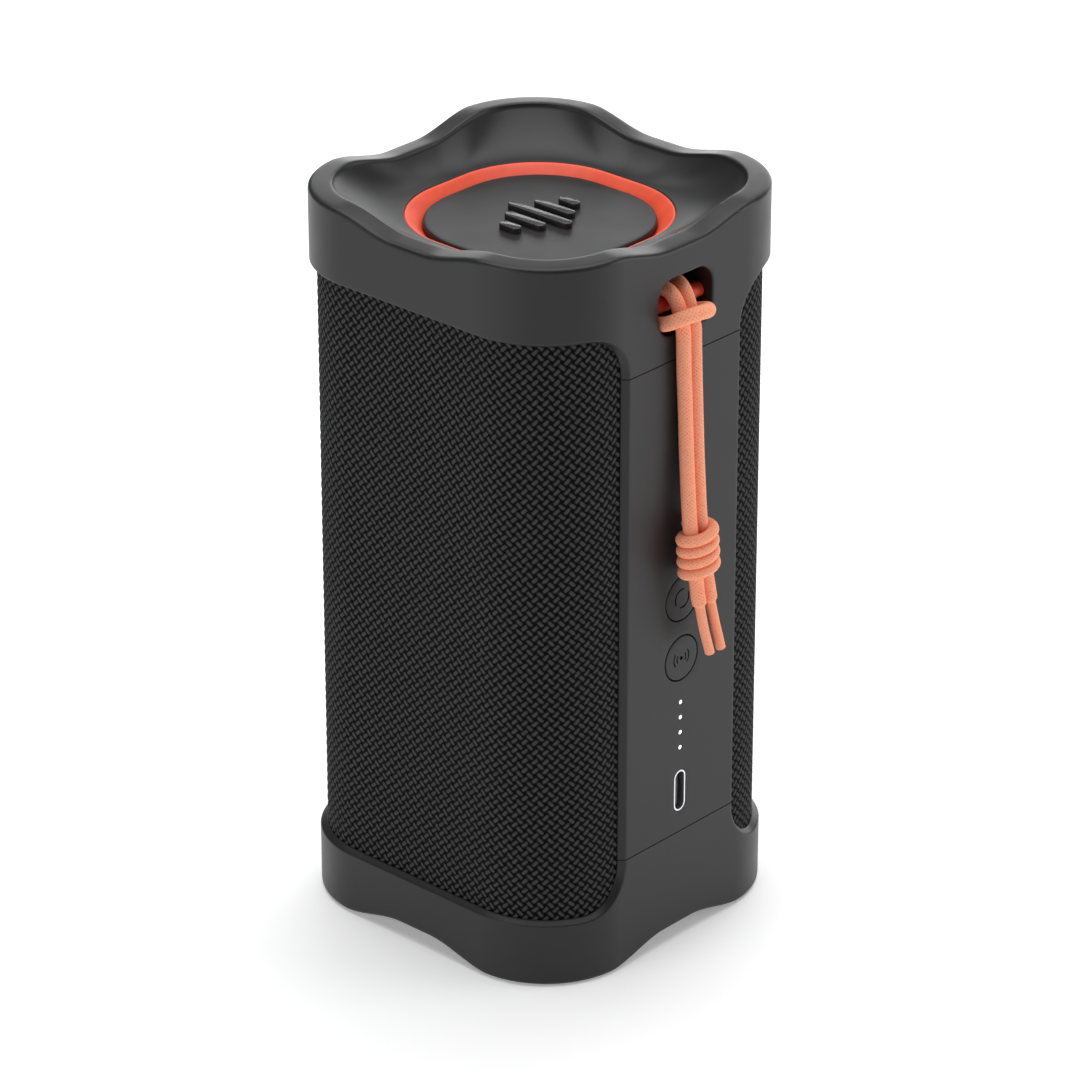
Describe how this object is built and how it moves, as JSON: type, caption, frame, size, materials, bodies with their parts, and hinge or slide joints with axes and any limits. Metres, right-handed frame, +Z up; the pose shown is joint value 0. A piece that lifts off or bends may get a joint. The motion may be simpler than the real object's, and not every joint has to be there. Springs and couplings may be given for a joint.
{
  "type": "portable bluetooth speaker",
  "caption": "Portable wireless speaker: square column with rounded corners, wavy-rimmed end caps, fabric sleeve, control spine, sprung radiators and a cord lanyard.",
  "frame": {"origin": "centre of the footprint, on the surface the speaker stands on", "axes": "+Z up along the column; the control spine faces -Y; +X is to the right when the spine faces the viewer"},
  "size_m": [0.0744, 0.0823, 0.153],
  "materials": {
    "cap_polymer": "fine moulded texture, soft touch",
    "core_polymer": "moulded",
    "sleeve_fabric": "diagonal basket weave, water resistant",
    "gasket_rubber": "soft foam rubber",
    "screw_steel": "zinc plated",
    "plug_rubber": "moulded",
    "bar_polymer": "moulded",
    "cord_textile": "round braid",
    "frame_polymer": "moulded",
    "surround_rubber": "moulded",
    "plate_polymer": "fine moulded texture",
    "badge_polymer": "fine moulded texture",
    "magnet_steel": "zinc plated",
    "roll_rubber": "moulded",
    "spider_textile": "resin treated cloth",
    "cone_paper": "pressed fibre",
    "coil_copper": "enamelled wire",
    "cell_wrap": null,
    "board_laminate": "solder mask",
    "component_resin": "moulded",
    "can_steel": "tinned",
    "light_lens": "clear with a white glow",
    "usb_steel": "nickel plated",
    "tongue_polymer": "moulded",
    "button_polymer": "fine moulded texture",
    "plunger_polymer": "moulded",
    "lead_pvc": "insulated wire"
  },
  "bodies": {
    "enclosure": {"top_cap": "cap_polymer", "bottom_cap": "cap_polymer", "spine_panel": "cap_polymer", "core_housing": "core_polymer", "fabric_sleeve": "sleeve_fabric", "top_cap_gasket": "gasket_rubber", "bottom_cap_gasket": "gasket_rubber", "top_cap_screws": "screw_steel", "bottom_cap_screws": "screw_steel", "screw_plugs": "plug_rubber", "lanyard_bar": "bar_polymer", "lanyard_loop": "cord_textile", "lanyard_knot": "cord_textile", "lanyard_tails": "cord_textile", "top_radiator_frame": "frame_polymer", "top_radiator_surround": "surround_rubber", "bottom_radiator_frame": "frame_polymer", "bottom_radiator_surround": "surround_rubber", "radiator_screws": "screw_steel", "left_driver_basket": "frame_polymer", "left_driver_magnet": "magnet_steel", "left_driver_surround": "roll_rubber", "left_driver_spider": "spider_textile", "right_driver_basket": "frame_polymer", "right_driver_magnet": "magnet_steel", "right_driver_surround": "roll_rubber", "right_driver_spider": "spider_textile", "driver_gaskets": "gasket_rubber", "driver_screws": "screw_steel", "battery_cells": "cell_wrap", "battery_cradle": "frame_polymer", "cradle_screws": "screw_steel", "main_board": "board_laminate", "board_components": "component_resin", "radio_can": "can_steel", "board_screws": "screw_steel", "tactile_switches": "component_resin", "light_diodes": "light_lens", "light_guide": "light_lens", "usb_shell": "usb_steel", "usb_tongue": "tongue_polymer", "usb_seal": "gasket_rubber", "lead_grommet": "gasket_rubber", "internal_leads": "lead_pvc"},
    "power_button_body": {"power_button": "button_polymer", "power_plunger": "plunger_polymer"},
    "pairing_button_body": {"pairing_button": "button_polymer", "pairing_plunger": "plunger_polymer"},
    "top_radiator": {"top_radiator_plate": "plate_polymer", "top_radiator_badge": "badge_polymer"},
    "bottom_radiator": {"bottom_radiator_plate": "plate_polymer"},
    "left_cone_body": {"left_cone": "cone_paper", "left_voice_coil": "coil_copper"},
    "right_cone_body": {"right_cone": "cone_paper", "right_voice_coil": "coil_copper"}
  },
  "joints": [
    {"name": "power_button_press", "type": "slide", "parent": "enclosure", "child": "power_button_body", "axis": [0, 1, 0], "range_m": [0, 0.00045], "stiffness_N_per_m": 3000},
    {"name": "pairing_button_press", "type": "slide", "parent": "enclosure", "child": "pairing_button_body", "axis": [0, 1, 0], "range_m": [0, 0.00045], "stiffness_N_per_m": 3000},
    {"name": "top_radiator_travel", "type": "slide", "parent": "enclosure", "child": "top_radiator", "axis": [0, 0, 1], "range_m": [-0.0015, 0.0015], "stiffness_N_per_m": 3000, "deforming": ["top_radiator_surround"]},
    {"name": "bottom_radiator_travel", "type": "slide", "parent": "enclosure", "child": "bottom_radiator", "axis": [0, 0, -1], "range_m": [-0.0015, 0.0015], "stiffness_N_per_m": 3000, "deforming": ["bottom_radiator_surround"]},
    {"name": "left_cone_travel", "type": "slide", "parent": "enclosure", "child": "left_cone_body", "axis": [-1, 0, 0], "range_m": [-0.001, 0.001], "stiffness_N_per_m": 2000, "deforming": ["left_driver_surround", "left_driver_spider"]},
    {"name": "right_cone_travel", "type": "slide", "parent": "enclosure", "child": "right_cone_body", "axis": [1, 0, 0], "range_m": [-0.001, 0.001], "stiffness_N_per_m": 2000, "deforming": ["right_driver_surround", "right_driver_spider"]}
  ],
  "couplings": [
    {"joint": "bottom_radiator_travel", "follows": "top_radiator_travel", "ratio": 1}
  ]
}
